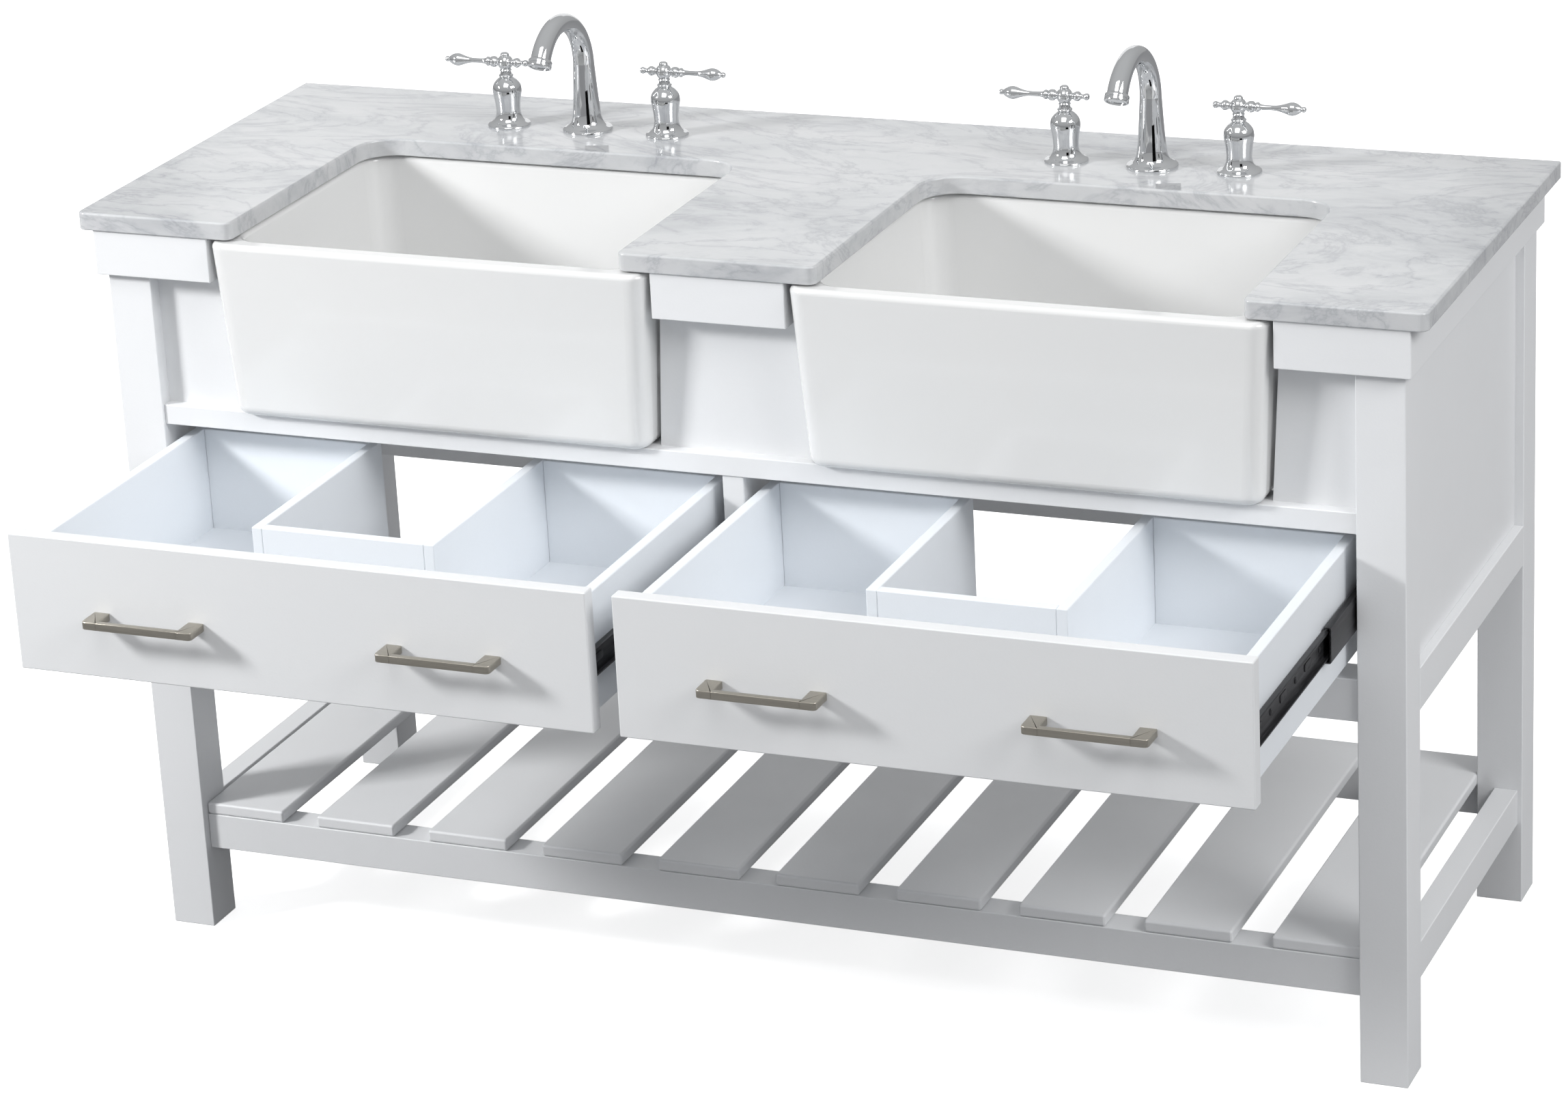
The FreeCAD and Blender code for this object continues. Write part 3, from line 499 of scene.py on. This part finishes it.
# ---------------------------------------------------------------- bar pulls
def rounded(corners, steps=4):
    """An outline with each (x, y, radius) corner rounded."""
    count = len(corners)
    line = []
    for index, (x, y, radius) in enumerate(corners):
        corner = Vector((x, y))
        before = (Vector(corners[index - 1][:2]) - corner).normalized()
        after = (Vector(corners[(index + 1) % count][:2]) - corner).normalized()
        start = corner + before * radius
        end = corner + after * radius
        for step in range(steps + 1):
            t = step / steps
            line.append(tuple(start * (1 - t) ** 2 + corner * 2 * t * (1 - t) + end * t * t))
    return line


def pulls(name):
    """Flat bar pulls with wide feet, their outer corners rounded in plan."""
    low, high = (Vector(corner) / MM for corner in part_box("pulls_" + name))
    half = 65.0
    inside = 47.0
    front = -30.0
    bar = inside + 0.5
    bar_back = front + 7.0
    ease = 0.9
    foot = [(half, front, 5.5), (half, 0, 1.5), (inside, 0, 1.5), (inside, front, 0.2)]
    other_foot = [(-x, y, radius) for x, y, radius in reversed(foot)]
    grip = [(-bar, front), (bar, front), (bar, bar_back), (-bar, bar_back)]
    shape = Shape()
    for x in (low.x + half, high.x - half):
        here = moved(x, high.y, 0)
        for outline in (grip, rounded(foot), rounded(other_foot)):
            shape.prism(outline, low.z, high.z, ease, here)
    shape.piece("bar_pulls_" + name, "nickel", name + "_drawer", "pulls_" + name)


# ---------------------------------------------------------------- drawer slides
STEEL = 1.3
WEB = STEEL * 1.2


def channel(shape, x, way, front, back, height, tall, deep):
    """A rolled steel channel, its open side facing the given way along X, with curled lips."""
    half = tall / 2
    bend = 2.2
    chamfer = bend * 0.3
    curl = 0.9
    lip = half - 2.6
    outer = [(deep, -lip), (deep, curl - half), (deep - curl, -half), (bend, -half),
             (chamfer, chamfer - half), (0, bend - half), (0, half - bend), (chamfer, half - chamfer),
             (bend, half), (deep - curl, half), (deep, half - curl), (deep, lip)]
    inner = [(deep - STEEL, lip), (deep - STEEL, half - STEEL), (bend, half - STEEL), (WEB, half - bend),
             (WEB, bend - half), (bend, STEEL - half), (deep - STEEL, STEEL - half), (deep - STEEL, -lip)]
    section = [(x + across * way, height + rise) for across, rise in outer + inner]
    shape.rings([[(across, y, rise) for across, rise in section] for y in (front, back)])


def stud(shape, x, y, z, way, radius, tall):
    """A domed rivet head that faces the given way along X."""
    head = [(radius, 0), (radius, tall * 0.4), (radius * 0.7, tall * 0.85), (0, tall)]
    shape.turned(head, moved(x, y, z, pi / 2 * way, "Y"), 16)


def boss(shape, x, y, z, way, long, tall, proud):
    """A pressed oblong boss that faces the given way along X."""
    corners = [(side * long / 2, end * tall / 2, tall * 0.45)
               for side, end in ((-1, -1), (1, -1), (1, 1), (-1, 1))]
    place = Matrix.Translation((x, y, z)) @ Matrix(((0, 0, way), (1, 0, 0), (0, 1, 0))).to_4x4()
    shape.prism(rounded(corners), 0, proud, proud / 3, place)


def slide_member(shape, low, high, way, marks, tall_boss, proud=0.9):
    """One member between two corners, open the given way, with bosses and rivets by turns on its web."""
    x = low.x if way > 0 else high.x
    height = (low.z + high.z) / 2
    channel(shape, x, way, low.y, high.y, height, high.z - low.z, high.x - low.x)
    face = x + WEB * way
    for number in range(marks):
        y = low.y + (high.y - low.y) * (number + 0.5) / marks
        if number % 2:
            stud(shape, face, y, height, way, 3.4, proud * 1.6)
        else:
            boss(shape, face, y, height, way, 22, tall_boss, proud)


def solids_of(node):
    """The boxes of a node's separate solids, in millimetres, from low X to high X."""
    work = bmesh.new()
    work.from_mesh(nodes[node].data)
    bmesh.ops.remove_doubles(work, verts=work.verts, dist=0.01 * MM)
    waiting = set(work.verts)
    boxes = []
    while waiting:
        group = [waiting.pop()]
        for vertex in group:
            for edge in vertex.link_edges:
                other = edge.other_vert(vertex)
                if other in waiting:
                    waiting.discard(other)
                    group.append(other)
        low = Vector([min(v.co[axis] for v in group) for axis in range(3)]) / MM
        high = Vector([max(v.co[axis] for v in group) for axis in range(3)]) / MM
        boxes.append((low, high))
    work.free()
    return sorted(boxes, key=lambda pair: pair[0].x)


def slides():
    """Rolled channels in place of the plain ones, the drawer members opening towards the cabinet."""
    for name in SIDES:
        shape = Shape()
        for way, (low, high) in zip((-1, 1), solids_of("slide_drawer_" + name)):
            slide_member(shape, low, high, way, 9, 9)
        shape.piece("slide_runner_" + name, "slide_black", name + "_drawer", "slide_drawer_" + name)
        shape = Shape()
        for way, (low, high) in zip((1, -1), solids_of("slide_middle_" + name)):
            slide_member(shape, low, high, way, 7, 12)
        shape.piece("slide_carrier_" + name, "slide_black", name + "_slide_middle", "slide_middle_" + name)
    shape = Shape()
    for way, (low, high) in zip((1, -1, 1, -1), solids_of("slide_cabinet_members")):
        slide_member(shape, low, high, way, 7, 14, 0.4)
    shape.piece("slide_rails", "slide_black", "cabinet", "slide_cabinet_members")


# ---------------------------------------------------------------- drains
def stoppers():
    """Domed pop-up stoppers with a rolled edge, on their stems."""
    thick = 4.0
    cap = smooth_line([(21, 0.4), (21, 0.4), (21, 1.7), (20.0, 2.6), (15.0, 3.4), (8.0, 3.85), (0, thick)])
    for name in SIDES:
        low, high = (Vector(corner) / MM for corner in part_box("stopper_" + name))
        x = (low.x + high.x) / 2
        y = (low.y + high.y) / 2
        stem = [(4, low.z - high.z + thick), (4, -1.5), (4, 0.4), (17.6, 0.4)]
        shape = Shape()
        shape.turned(stem + cap, moved(x, y, high.z - thick), 48)
        shape.piece("stopper_cap_" + name, "chrome", name + "_stopper", "stopper_" + name)


# ---------------------------------------------------------------- stage, light and camera
def sheet(name, corners, material):
    """A four-cornered stage piece."""
    mesh = bpy.data.meshes.new(name)
    mesh.from_pydata(corners, [], [(0, 1, 2, 3)])
    mesh.materials.append(material)
    made = bpy.data.objects.new(name, mesh)
    bpy.context.scene.collection.objects.link(made)
    return made


def ground(name, tint, glow, height):
    """A wide level sheet under everything."""
    s = Shader(name)
    s.colour(s.mix(tint, tuple(0.98 * part for part in tint), s.noise(0.6, 2.0)))
    s.fixed(Roughness=0.9, Specular_IOR_Level=0.1)
    s.fixed(Emission_Color=(1.0, 1.0, 1.0, 1.0), Emission_Strength=glow)
    reach = 60.0
    corners = [(-reach, -reach, height), (reach, -reach, height), (reach, reach, height),
               (-reach, reach, height)]
    return sheet(name, corners, s.material)


def floor():
    """A pale floor for the eye, and a darker one that bounces light as the studio's own does."""
    seen = ground("studio_floor", (0.95, 0.95, 0.95), 0.72, 0.0)
    seen.visible_diffuse = False
    seen.visible_glossy = False
    bounce = ground("studio_bounce", (0.60, 0.60, 0.61), 0.0, -0.002)
    bounce.visible_camera = False
    bounce.visible_shadow = False


def area_light(name, place, target, width, power):
    """A square area light that faces its target and stays out of the picture."""
    data = bpy.data.lights.new(name, "AREA")
    data.shape = "RECTANGLE"
    data.size = width
    data.size_y = width
    data.energy = power
    lamp = bpy.data.objects.new(name, data)
    lamp.location = place
    lamp.rotation_euler = (Vector(target) - Vector(place)).to_track_quat("-Z", "Y").to_euler()
    lamp.visible_camera = False
    bpy.context.scene.collection.objects.link(lamp)


def sky():
    """A soft tent of light, brightest overhead and greyer towards the horizon."""
    world = bpy.data.worlds.new("studio")
    bpy.context.scene.world = world
    world.use_nodes = True
    tree = world.node_tree
    place = tree.nodes.new("ShaderNodeTexCoord")
    split = tree.nodes.new("ShaderNodeSeparateXYZ")
    fade = tree.nodes.new("ShaderNodeMapRange")
    fade.inputs["From Min"].default_value = -0.1
    fade.inputs["From Max"].default_value = 0.9
    fade.inputs["To Min"].default_value = 0.40
    fade.inputs["To Max"].default_value = 0.56
    background = tree.nodes["Background"]
    background.inputs["Color"].default_value = (0.98, 0.99, 1.0, 1.0)
    tree.links.new(place.outputs["Generated"], split.inputs["Vector"])
    tree.links.new(split.outputs["Z"], fade.inputs["Value"])
    tree.links.new(fade.outputs["Result"], background.inputs["Strength"])


def flags():
    """Narrow black flags near each spout and valve, seen only in reflections, for crisp darks."""
    s = Shader("flag_black")
    s.colour(s.ramp(s.noise(4.0, 2.0), (0.0, 0.004), (1.0, 0.01)))
    s.fixed(Roughness=1.0, Specular_IOR_Level=0.0)
    aside = 24.0
    ahead = 62.0
    skew = 8.0
    for name in SIDES:
        x, y = deck_place(name)
        for shift, low, high, wide in ((0.0, -12.0, 42.0, 26.0), (-SPREAD, 20.0, 36.0, 20.0),
                                       (SPREAD, 20.0, 36.0, 20.0)):
            left = x + shift + aside
            right = left + wide
            front = y - ahead
            back = front + skew
            corners = [MM * Vector(corner) for corner in (
                (left, front, DECK + low), (right, back, DECK + low),
                (right, back, DECK + high), (left, front, DECK + high))]
            flag = sheet("flag_%s_%d" % (name, shift), corners, s.material)
            flag.visible_camera = False
            flag.visible_diffuse = False
            flag.visible_shadow = False


def lights():
    """A small key from the left, a big soft box above the front, a right fill and a faint back fill."""
    sky()
    area_light("key", (-2.95, -2.35, 2.25), (-0.1, -0.45, 0.4), 0.6, 122.0)
    area_light("overhead", (0.4, -3.4, 5.0), (0.0, -0.5, 0.6), 3.0, 58.0)
    area_light("right_fill", (4.0, -1.7, 3.4), (0.5, -0.4, 0.4), 2.0, 120.0)
    area_light("back_fill", (-1.6, 3.6, 1.6), (-0.3, -0.1, 0.4), 2.5, 10.0)
    bpy.context.scene.view_settings.view_transform = "Standard"
    bpy.context.scene.view_settings.exposure = 0.02


def camera():
    """The reference view: from the right and above, with a slight roll."""
    yaw, pitch, roll = radians(23.301), radians(-20.692), radians(-3.0095)
    forward = Vector((-sin(yaw) * cos(pitch), cos(yaw) * cos(pitch), sin(pitch)))
    level = Vector((cos(yaw), sin(yaw), 0.0))
    up = level.cross(forward)
    right = cos(roll) * level + sin(roll) * up
    above = cos(roll) * up - sin(roll) * level
    data = bpy.data.cameras.new("camera")
    data.sensor_fit = "HORIZONTAL"
    data.sensor_width = 36.0
    data.lens = 111.07
    data.clip_end = 200.0
    eye = bpy.data.objects.new("camera", data)
    turn = Matrix((right, above, -forward)).transposed()
    eye.matrix_world = Matrix.Translation((1.9558, -4.9421, 2.3505)) @ turn.to_4x4()
    bpy.context.scene.collection.objects.link(eye)
    bpy.context.scene.camera = eye


paint_frame()
faucets()
for side_name in SIDES:
    pulls(side_name)
slides()
stoppers()
floor()
lights()
flags()
camera()
